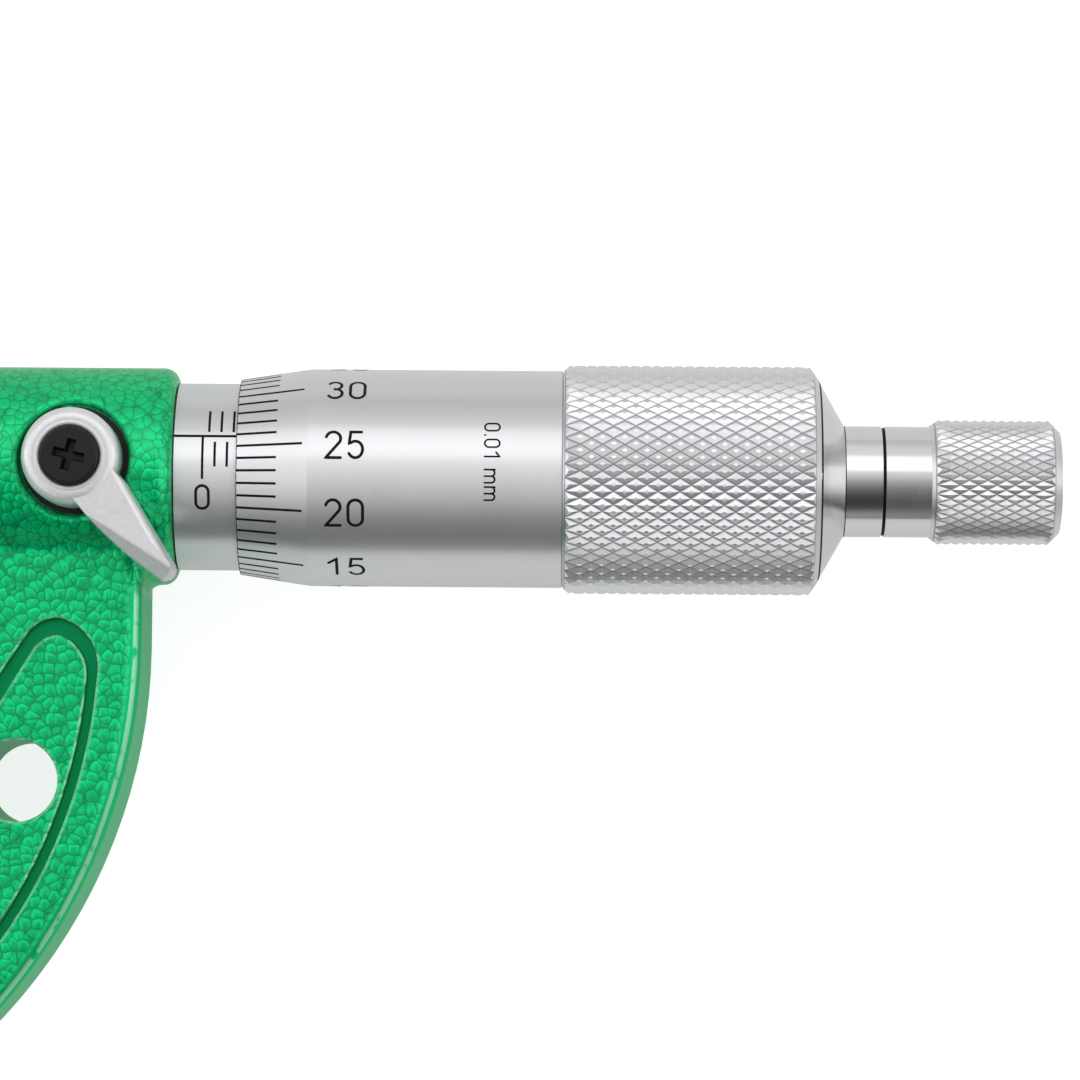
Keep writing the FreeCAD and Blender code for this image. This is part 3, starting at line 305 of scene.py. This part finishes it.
def knurl_shade(tree):
    """Painted light on the knurls: painted a little brighter on their points, and painted shade along the
    bottom of their valleys
    """
    along, outwards = along_and_out(tree)
    radius = node(tree, "VectorMath", {0: outwards}, operation="LENGTH").outputs["Value"]
    on_knob = maths(tree, "GREATER_THAN", along, (knob_left + NECK_LENGTH) * MM)
    bottom = scaled(tree, on_knob, (knob_valley - GRIP_VALLEY) * MM, GRIP_VALLEY * MM)
    height = maths(tree, "SUBTRACT", radius, bottom)
    on_knurl = product(tree, maths(tree, "GREATER_THAN", along, KNURL_START * MM),
                       maths(tree, "GREATER_THAN", height, -0.03 * MM))
    level = scaled(tree, step(tree, height, 0.0, VALLEY_SHADE * MM), 0.68, 0.47)
    return blend(tree, on_knurl, 1.0, level)


def neck_polish(tree):
    """1 on the knob's neck, which is smoother than the rest of the knob"""
    along = split(tree, coordinates(tree, "Object"))[0]
    return product(tree, maths(tree, "GREATER_THAN", along, knob_left * MM),
                   maths(tree, "LESS_THAN", along, (knob_left + NECK_LENGTH) * MM))


def turned_metal(name, colour, rough, grain, grain_depth, ease=0.0, brushed=0.0):
    """Metal with fine lines that run round the X axis, as from turning and brushing. Ease is the
    share by which a knurl's facets are turned back."""
    made, tree, shader = new_material(name, Metallic=1.0, Anisotropic=brushed, Anisotropic_Rotation=0.25)
    round_axis = node(tree, "Tangent", direction_type="RADIAL", axis="X")
    tree.links.new(round_axis.outputs[0], shader.inputs["Tangent"])
    lines = stretched_noise(tree, (grain, grain * 0.015, grain * 0.015), 4.0, 0.7)
    cloud = stretched_noise(tree, (180, 180, 180), 2.0)
    lined = ramp(tree, lines, [(0.3, 0.93), (0.7, 1.0)])
    shade = blend_colour(tree, 0.5, lined, (*colour, 1), "MULTIPLY")
    tint = blend_colour(tree, 0.5, (*colour, 1), shade)
    half = ROUGHNESS_SPREAD / 2
    roughness = maths(tree, "ADD", scaled(tree, lines, ROUGHNESS_SPREAD, rough - half),
                      scaled(tree, cloud, ROUGHNESS_SPREAD, -half))
    facets = None
    if ease:
        # Painted light on the knurls: painted shade in their valleys, their points a little brighter
        tint = blend_colour(tree, 1.0, tint, knurl_shade(tree), "MULTIPLY")
        roughness = maths(tree, "SUBTRACT", roughness, product(tree, neck_polish(tree), 0.18))
        facets = eased_facets(tree, ease)
    tree.links.new(tint, shader.inputs["Base Color"])
    tree.links.new(roughness, shader.inputs["Roughness"])
    tree.links.new(bump(tree, lines, grain_depth, facets), shader.inputs["Normal"])
    return made


# Enamel and plain finishes


def hammered_paint():
    """Green enamel with bright flakes that drew itself into pebbles while it dried; it lies smooth in
    the bow's groove and on its sides"""
    made, tree, shader = new_material(
        "hammered_paint", Metallic=0.65, Roughness=0.34, Specular_IOR_Level=0.2, Specular_Tint=GREEN_GLEAM,
        Coat_Roughness=0.08)
    place = coordinates(tree, "Object")
    up, out = split(tree, place)[1:3]
    depth = maths(tree, "ABSOLUTE", out)
    facing = maths(tree, "ABSOLUTE", split(tree, coordinates(tree, "Normal"))[2])
    on_bow = step(tree, up, BOW_TOP * MM, (BOW_TOP - 1.2) * MM)
    smooth = product(tree, on_bow, step(tree, depth, GROOVE_RIM * MM, (GROOVE_RIM - 0.2) * MM))
    in_groove = product(
        tree, on_bow,
        step(tree, depth, (GROOVE_RIM - 0.05) * MM, (GROOVE_RIM - 0.25) * MM),
        step(tree, depth, (GROOVE_FLOOR - 0.4) * MM, (GROOVE_FLOOR - 0.15) * MM),
        step(tree, facing, 0.75, 0.9))

    # Pebbles: rounded cells whose borders wander, each a little lighter or darker than the next, with
    # painted shade in the hollows and corners between them and a ring of painted highlight just inside each
    # border
    wander = node(tree, "TexNoise", {"Vector": place, "Scale": 1100.0, "Detail": 3.0}).outputs["Color"]
    shifted = node(tree, "MixRGB", {0: WANDER, 1: place, 2: wander}, blend_type="ADD").outputs[0]
    cells = {"Vector": shifted, "Scale": PEBBLES, "Randomness": 0.85}
    border = node(tree, "TexVoronoi", cells, feature="DISTANCE_TO_EDGE").outputs["Distance"]
    middle = node(tree, "TexVoronoi", cells, feature="F1").outputs
    each = node(tree, "SeparateColor", {0: middle["Color"]}).outputs[0]
    shade = product(
        tree,
        ramp(tree, border, [(0.0, 0.5), (0.025, 0.66), (0.06, 0.9), (0.11, 1.0), (0.2, 0.95), (0.35, 0.87)]),
        ramp(tree, middle["Distance"], [(0.4, 1.0), (0.62, 0.82)]),
        ramp(tree, each, [(0.0, 0.9), (1.0, 1.05)]))
    # Painted shade: the enamel is painted darker where it lies deep in the groove; elsewhere its smooth
    # faces take an even tone
    shade = blend(tree, in_groove, blend(tree, smooth, shade, 0.85), 0.4)
    colour = blend_colour(tree, 1.0, shade, GREEN, "MULTIPLY")

    # Their height, with a fine grain over all, on corners that are rounded a little
    dome = step(tree, middle["Distance"], 0.72, 0.08)
    height = scaled(tree, dome, 0.9, product(tree, step(tree, border, 0.0, 0.3), 0.28))
    height = product(tree, height, maths(tree, "SUBTRACT", 1.0, smooth))
    height = scaled(tree, noise(tree, place, 2600.0, 2.0), 0.1, height)
    eased = node(tree, "Bevel", {"Radius": RIM_ROUNDING * MM}, samples=4).outputs[0]
    tree.links.new(bump(tree, height, 0.00005, eased), shader.inputs["Normal"])

    # Painted highlight: the enamel is painted pale along the bow's rims and on a band of its rounded edges,
    # in patches, and it is duller on the sides
    true_normal = node(tree, "NewGeometry").outputs["Normal"]
    turned = node(tree, "VectorMath", {0: eased, 1: true_normal}, operation="DOT_PRODUCT").outputs["Value"]
    rim_highlight = product(tree, step(tree, turned, 0.985, 0.93), on_bow,
                  step(tree, depth, (GROOVE_RIM - 0.2) * MM, (GROOVE_RIM - 0.08) * MM))
    slope_highlight = product(tree, step(tree, facing, 0.84, 0.74), step(tree, facing, 0.5, 0.6), on_bow)
    patchy = step(tree, noise(tree, place, 700.0, 2.0), 0.3, 0.44)
    rim_highlight = product(tree, maths(tree, "MAXIMUM", rim_highlight, slope_highlight), patchy, 0.75)
    tree.links.new(blend_colour(tree, rim_highlight, colour, HIGHLIGHT_GREEN), shader.inputs["Base Color"])
    tree.links.new(scaled(tree, smooth, -0.28, 0.38), shader.inputs["Coat Weight"])
    return made


def plain_coat(name, colour, rough, speck=0.05, metallic=0.0, gloss=0.5):
    """A smooth finish with a faint grain in its colour, gloss and surface"""
    made, tree, shader = new_material(name, Metallic=metallic, Specular_IOR_Level=gloss)
    grain = stretched_noise(tree, (2500, 2500, 2500), 3.0)
    tone = ramp(tree, grain, [(0.3, 1 - speck), (0.7, 1.0)])
    tree.links.new(blend_colour(tree, 1.0, tone, (*colour, 1), "MULTIPLY"), shader.inputs["Base Color"])
    cloud = stretched_noise(tree, (350, 350, 350), 2.0)
    tree.links.new(ramp(tree, cloud, [(0.3, rough * 0.85), (0.7, rough * 1.15)]), shader.inputs["Roughness"])
    tree.links.new(bump(tree, grain, 0.000004), shader.inputs["Normal"])
    return made


materials = {
    "hammered_paint": hammered_paint(),
    "satin_chrome": turned_metal(
        "satin_chrome", (0.60, 0.61, 0.63), 0.38, 16000, 0.0000012, ease=0.36, brushed=0.8),
    "bright_steel": turned_metal("bright_steel", (0.62, 0.62, 0.63), 0.17, 12000, 0.0000006),
    "hard_metal": plain_coat("hard_metal", (0.20, 0.21, 0.22), 0.18, metallic=1.0),
    "die_cast_silver": plain_coat("die_cast_silver", (0.82, 0.82, 0.84), 0.36, 0.08, 0.5),
    "black_finish": plain_coat("black_finish", (0.010, 0.010, 0.011), 0.33, 0.3, gloss=0.3),
    "brass": turned_metal("brass", (0.60, 0.42, 0.14), 0.30, 9000, 0.000001),
    "spring_steel": plain_coat("spring_steel", (0.42, 0.42, 0.43), 0.25, metallic=1.0),
}
# The ink finish serves the engraved scales, and also the dark rings of painted shade along the seams
ink = plain_coat("ink", (0.006, 0.006, 0.007), 0.6, 0.3, gloss=0.15)

for row in frame["record"]["subparts"]:
    carried = frame["nodes"][row["node"]]
    carried.data.materials.clear()
    carried.data.materials.append(materials[row["material_slot"]])


# Engraved scales: thin strips of black ink that lie in the round faces


def ribbon(path, width, closed, round_ends):
    """Left and right edges of a line of even width; open ones may end in a half circle"""
    path = np.array(path, float)
    if closed:
        before, after = np.roll(path, 1, 0), np.roll(path, -1, 0)
    else:
        before = np.vstack([2 * path[0] - path[1], path[:-1]])
        after = np.vstack([path[1:], 2 * path[-1] - path[-2]])
    arriving = path - before
    leaving = after - path
    arriving /= np.linalg.norm(arriving, axis=1)[:, None]
    leaving /= np.linalg.norm(leaving, axis=1)[:, None]
    along = arriving + leaving
    along /= np.linalg.norm(along, axis=1)[:, None]
    across = np.stack([-along[:, 1], along[:, 0]], 1)
    mitre = 1 / np.clip((along * leaving).sum(1), 0.6, 1)
    half = (width / 2 * mitre)[:, None]
    left, right = path + across * half, path - across * half
    if round_ends and not closed:
        for turn in np.radians([30, 60, 85]):
            rise, reach = math.sin(turn) * width / 2, math.cos(turn) * width / 2
            start, end = path[0] - along[0] * rise, path[-1] + along[-1] * rise
            left = np.vstack([start + across[0] * reach, left, end + across[-1] * reach])
            right = np.vstack([start - across[0] * reach, right, end - across[-1] * reach])
    return left, right


def even_steps(path, closed):
    """The same line with points no further apart than a step of the ink"""
    path = [np.array(p, float) for p in path]
    if closed:
        path.append(path[0])
    out = [path[0]]
    for start, end in zip(path, path[1:]):
        count = max(1, math.ceil(np.linalg.norm(end - start) / INK_STEP))
        out += [start + (end - start) * i / count for i in range(1, count + 1)]
    return out[:-1] if closed else out


def lay_ink(name, strokes, radius_at, angle):
    """Ink strokes on a round face. A stroke is (path, width, closed, round ends), with the path in
    millimetres along the axis and round the face from the angle"""
    points, faces = [], []
    for path, width, closed, round_ends in strokes:
        left, right = ribbon(even_steps(path, closed), width, closed, round_ends)
        start = len(points)
        for a, b in zip(left, right):
            for x, s in (a, b):
                radius = radius_at(x)
                turn = angle + s / radius
                for r in (radius + INK_HEIGHT, radius - INK_DEPTH):
                    points.append((x, r * math.sin(turn), r * math.cos(turn)))
        count = len(left)
        for i in range(count if closed else count - 1):
            a, b = start + 4 * i, start + 4 * ((i + 1) % count)
            faces += [(a, b, b + 2, a + 2), (a + 1, a + 3, b + 3, b + 1),
                      (a, a + 1, b + 1, b), (a + 2, b + 2, b + 3, a + 3)]
        if not closed:
            a, b = start, start + 4 * (count - 1)
            faces += [(a, a + 2, a + 3, a + 1), (b, b + 1, b + 3, b + 2)]
    piece = new_mesh(name, points, faces)
    piece.data.materials.append(ink)
    return piece


def arc(x, y, rx, ry, start, end, count=14):
    """Points on an ellipse from a start angle to an end angle, in degrees"""
    turns = np.radians(np.linspace(start, end, count))
    return [(x + rx * math.cos(t), y + ry * math.sin(t)) for t in turns]


# Strokes of each mark in a box 1 tall, as the middle of the strokes: (points, closed). W is the
# width of a digit and R half of it. Other marks have widths of their own.
W = 0.54
R = W / 2
MARKS = {
    "0": [(arc(R, 1 - R, R, R, 0, 180) + arc(R, R, R, R, 180, 360), True)],
    "1": [([(0.06, 0.76), (0.36, 1.0), (0.36, 0.0)], False)],
    "2": [(arc(R, 1 - R, R, R, 165, -28) + [(0.0, 0.0), (W, 0.0)], False)],
    "3": [(arc(R - 0.01, 0.755, R - 0.03, 0.245, 150, -90)
           + arc(R - 0.01, 0.265, R, 0.265, 90, -150), False)],
    "4": [([(0.44, 0.0), (0.44, 1.0), (0.0, 0.27), (W + 0.02, 0.27)], False)],
    "5": [([(W - 0.06, 1.0), (0.08, 1.0), (0.03, 0.55)] + arc(R - 0.01, 0.32, R, 0.32, 125, -150), False)],
    ".": [([(0.03, 0.0), (0.03, 0.05)], False)],
    "m": [
        ([(0.0, 0.0), (0.0, 0.7)], False),
        ([(0.0, 0.4)] + arc(0.22, 0.46, 0.22, 0.22, 165, 0) + [(0.44, 0.0)], False),
        ([(0.44, 0.4)] + arc(0.66, 0.46, 0.22, 0.22, 165, 0) + [(0.88, 0.0)], False),
    ],
}
WIDTHS = {".": 0.06, "m": 0.88, " ": 0.12}
GAP = 0.29


def word_strokes(word, x, s, height, width, turned=False):
    """Strokes of a word whose middle is at a place; it reads along the axis, or turned, round the face"""
    spans = [WIDTHS.get(mark, W) for mark in word]
    begin = -(sum(spans) + GAP * (len(word) - 1)) / 2
    strokes = []
    for mark, span in zip(word, spans):
        for path, closed in MARKS.get(mark, []):
            along = [((px + begin) * height, (py - 0.5) * height) for px, py in path]
            laid = [(x + rise, s - run) if turned else (x + run, s + rise) for run, rise in along]
            strokes.append((laid, width, closed, True))
        begin += span + GAP
    return strokes


def line(x0, s0, x1, s1, width):
    return ([(x0, s0), (x1, s1)], width, False, False)


sleeve_strokes = [line(DATUM_START, 0, ZERO_PLACE + TRAVEL + DATUM_PAST_END, 0, DATUM_WIDTH)]
for count in range(2 * TRAVEL + 1):
    x = ZERO_PLACE + count / 2
    tick = HALF_TICK if count % 2 else WHOLE_TICK if count % 10 else FIFTH_TICK
    sleeve_strokes.append(line(x, tick[0], x, tick[1], TICK_WIDTH))
    if count % 10 == 0:
        sleeve_strokes += word_strokes(str(count // 2), x, **SLEEVE_NUMBER)
sleeve_scale = lay_ink("sleeve_scale", sleeve_strokes, lambda x: SLEEVE_RADIUS, DATUM_ANGLE)
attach(sleeve_scale, "scale_sleeve")


def thimble_radius(x):
    share = min(max((x - thimble_left) / BEVEL_LENGTH, 0), 1)
    return EDGE_RADIUS + (THIMBLE_RADIUS - EDGE_RADIUS) * share


def thimble_strip(name, strokes_at, numbers):
    """Strokes that turn with each line's place round the thimble"""
    points, faces = [], []
    for number in numbers:
        turn = DATUM_ANGLE + 2 * math.pi * (number - LINE_AT_DATUM) / THIMBLE_LINES
        piece = lay_ink(name, strokes_at(number), thimble_radius, turn)
        start = len(points)
        points += [tuple(v.co / MM) for v in piece.data.vertices]
        faces += [tuple(start + i for i in face.vertices) for face in piece.data.polygons]
        bpy.data.meshes.remove(piece.data)
    made = new_mesh(name, points, faces)
    made.data.materials.append(ink)
    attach(made, "thimble")


def thimble_line(number):
    length = SHORT_LINE if number % 5 else LONG_LINE
    return [line(thimble_left + LINE_START, 0, thimble_left + length, 0, TICK_WIDTH)]


def thimble_number(number):
    return word_strokes(str(number), thimble_left + NUMBER_PLACE, **THIMBLE_NUMBER)


thimble_strip("thimble_lines", thimble_line, range(THIMBLE_LINES))
thimble_strip("thimble_numbers", thimble_number, range(0, THIMBLE_LINES, 5))
word = word_strokes("0.01 mm", thimble_left + WORD_PLACE, **THIMBLE_WORD)
thimble_word = lay_ink("thimble_word", word, thimble_radius, WORD_ANGLE)
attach(thimble_word, "thimble")


# Painted shade: dark rings of the ink finish laid right round where seams and gaps lie in shade, seen as
# dark lines


def dark_ring(name, x, width, radius_at):
    # Painted shade: a thin ring of the ink finish where a seam or gap lies in shade
    ring = lay_ink(name, [line(x, 0, x, 2 * math.pi * radius_at(x), width)], radius_at, 0)
    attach(ring, "thimble")


def cap_radius_at(x):
    """The cap's cone, and a little over it, because the ring has to clear the cone's flat facets"""
    return SEAM_LIFT + cap_radius + (CAP_END_RADIUS - cap_radius) * (x - cap_right + CAP_LENGTH) / CAP_LENGTH


dark_ring("thimble_edge_shade", thimble_left + EDGE_SHADE / 2, EDGE_SHADE, lambda x: EDGE_RADIUS)
dark_ring("cap_seam_shade", cap_right - CAP_LENGTH + CAP_SEAM_SHADE[0], CAP_SEAM_SHADE[1], cap_radius_at)
dark_ring("neck_seam_shade", cap_right + NECK_SEAM_SHADE[0], NECK_SEAM_SHADE[1], lambda x: NECK_RADIUS)
dark_ring("stop_gap_shade", knob_left - STOP_GAP / 2, STOP_GAP - STOP_GAP_PLAY,
          lambda x: NECK_RADIUS - STOP_GAP_DEPTH)


def screw_seat():
    """Seat of the lock screw: a rounded lip that closes the gap round the screw's head"""
    points, faces = [], []
    rows = len(SEAT_PROFILE)
    for i in range(SEAT_SIDES):
        turn = 2 * math.pi * i / SEAT_SIDES
        across, up = math.cos(turn), math.sin(turn)
        points += [(PIVOT[0] + r * across, PIVOT[1] + r * up, z) for r, z in SEAT_PROFILE]
        here, there = i * rows, (i + 1) % SEAT_SIDES * rows
        for k in range(rows):
            after = (k + 1) % rows
            faces.append((here + k, there + k, there + after, here + after))
    piece = new_mesh("screw_seat", points, faces, smooth=True)
    piece.data.materials.append(materials["die_cast_silver"])
    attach(piece, "lock")


screw_seat()


def floor():
    """A pale floor that stays white around the object's soft shadow. The object lies on the thimble's
    grip, the hub and the bottom of the bow."""
    grip, hub, bow = (Vector(point) for point in TOUCHING)
    up = (bow - hub).cross(grip - hub).normalized()
    middle = (grip + hub + bow) / 3
    points = (vertex.co / MM for piece in frame["nodes"].values() for vertex in piece.data.vertices)
    middle += up * (min((point - middle).dot(up) for point in points) - FLOOR_GAP)
    side = up.orthogonal().normalized()
    other = up.cross(side)
    ways = ((-1, -1), (1, -1), (1, 1), (-1, 1))
    corners = [middle + (side * a + other * b) * FLOOR_REACH for a, b in ways]
    plane = new_mesh("floor", [tuple(corner) for corner in corners], [(0, 1, 2, 3)])
    made = bpy.data.materials.new("floor")
    made.use_nodes = True
    tree = made.node_tree
    tree.nodes.clear()
    path = node(tree, "LightPath").outputs
    mirrored = maths(tree, "MAXIMUM", path["Is Glossy Ray"], path["Is Transmission Ray"])
    seen = path["Is Camera Ray"]
    glowing = maths(tree, "MAXIMUM", product(tree, mirrored, 0.42), product(tree, seen, 0.82))
    matt = node(tree, "BsdfDiffuse", {"Color": (0.5, 0.5, 0.5, 1)}).outputs[0]
    glow = node(tree, "Emission", {"Color": (1, 1, 1, 1), "Strength": glowing}).outputs[0]
    both = node(tree, "AddShader", {0: matt, 1: glow}).outputs[0]
    node(tree, "OutputMaterial", {"Surface": both})
    plane.data.materials.append(made)


floor()


def studio():
    """Metal mirrors a pale world with a dark stretch low in front and a bright strip on either side.
    Other faces are lit by a softer form of it and one wide soft lamp, and the camera sees it white."""
    world = bpy.data.worlds.new("studio")
    world.use_nodes = True
    bpy.context.scene.world = world
    tree = world.node_tree
    tree.nodes.clear()
    way = coordinates(tree, "Generated")
    up, near = split(tree, way)[1:3]
    path = node(tree, "LightPath").outputs
    mirrored = maths(tree, "MAXIMUM", path["Is Glossy Ray"], path["Is Transmission Ray"])
    share = scaled(tree, maths(tree, "ARCTAN2", up, near), 0.5 / math.pi, 0.5)
    centre, beside = (
        ramp(tree, share, [((angle + 180) / 360, level / BRIGHTEST) for angle, level in levels])
        for levels in (CENTRE_LEVELS, BESIDE_LEVELS))
    # How far a direction leans to the left or right: the knurl's facets look to the sides
    flat = node(tree, "VectorMath", {0: way, 1: (1, 0, 1)}, operation="MULTIPLY").outputs[0]
    tilt = maths(tree, "ABSOLUTE", split(tree, unit(tree, flat))[0])
    bands = blend(tree, step(tree, tilt, 0.22, 0.36), centre, beside)
    strip = ramp(tree, tilt, [(0.87, 0.0), (0.89, 1.0), (0.95, 1.0), (0.97, 0.0)])
    tall = ramp(tree, scaled(tree, up, 0.5, 0.5), [(0.45, 0.0), (0.5, 1.0), (0.64, 1.0), (0.72, 0.0)])
    bright = product(tree, strip, tall, maths(tree, "GREATER_THAN", near, 0.0))
    level = scaled(tree, bands, BRIGHTEST, product(tree, bright, STRIP_LEVEL))
    strength = blend(tree, mirrored, scaled(tree, centre, 0.67, 0.47), level)
    strength = blend(tree, path["Is Camera Ray"], strength, 1.0)
    background = node(tree, "Background", {"Color": (1, 1, 1, 1), "Strength": strength}).outputs[0]
    node(tree, "OutputWorld", {"Surface": background})
    lamp = bpy.data.lights.new("softbox", "AREA")
    lamp.shape = "RECTANGLE"
    lamp.size, lamp.size_y = LAMP_SIZE
    lamp.energy = LAMP_LEVEL * math.pi * lamp.size * lamp.size_y
    box = bpy.data.objects.new("softbox", lamp)
    bpy.context.scene.collection.objects.link(box)
    box.location = (LAMP_PLACE, LAMP_DISTANCE * math.sin(LAMP_LEAN), LAMP_DISTANCE * math.cos(LAMP_LEAN))
    box.rotation_euler = (-LAMP_LEAN, 0, 0)


studio()


def camera():
    """The photograph's viewpoint, 418 mm in front of the spindle's axis"""
    across = (PHOTO / 2 - POINT_BELOW[0]) / FOCAL
    up = (POINT_BELOW[1] - PHOTO / 2) / FOCAL
    right = Vector((math.cos(CAMERA_ROLL), math.sin(CAMERA_ROLL), 0))
    top = Vector((-math.sin(CAMERA_ROLL), math.cos(CAMERA_ROLL), 0))
    way = (right * across + top * up + Vector((0, 0, -1))).normalized()
    across_way = way.cross(top).normalized()
    up_way = across_way.cross(way)
    data = bpy.data.cameras.new("camera")
    data.sensor_width = SENSOR_WIDTH
    data.lens = data.sensor_width * FOCAL * FOCAL_FIT / PHOTO
    data.clip_start = 0.01
    made = bpy.data.objects.new("camera", data)
    turn = Matrix((across_way, up_way, -way)).transposed().to_4x4()
    made.matrix_world = Matrix.Translation(Vector(CAMERA_PLACE) * MM) @ turn
    bpy.context.scene.collection.objects.link(made)
    bpy.context.scene.camera = made


camera()
bpy.context.scene.view_settings.view_transform = "Standard"
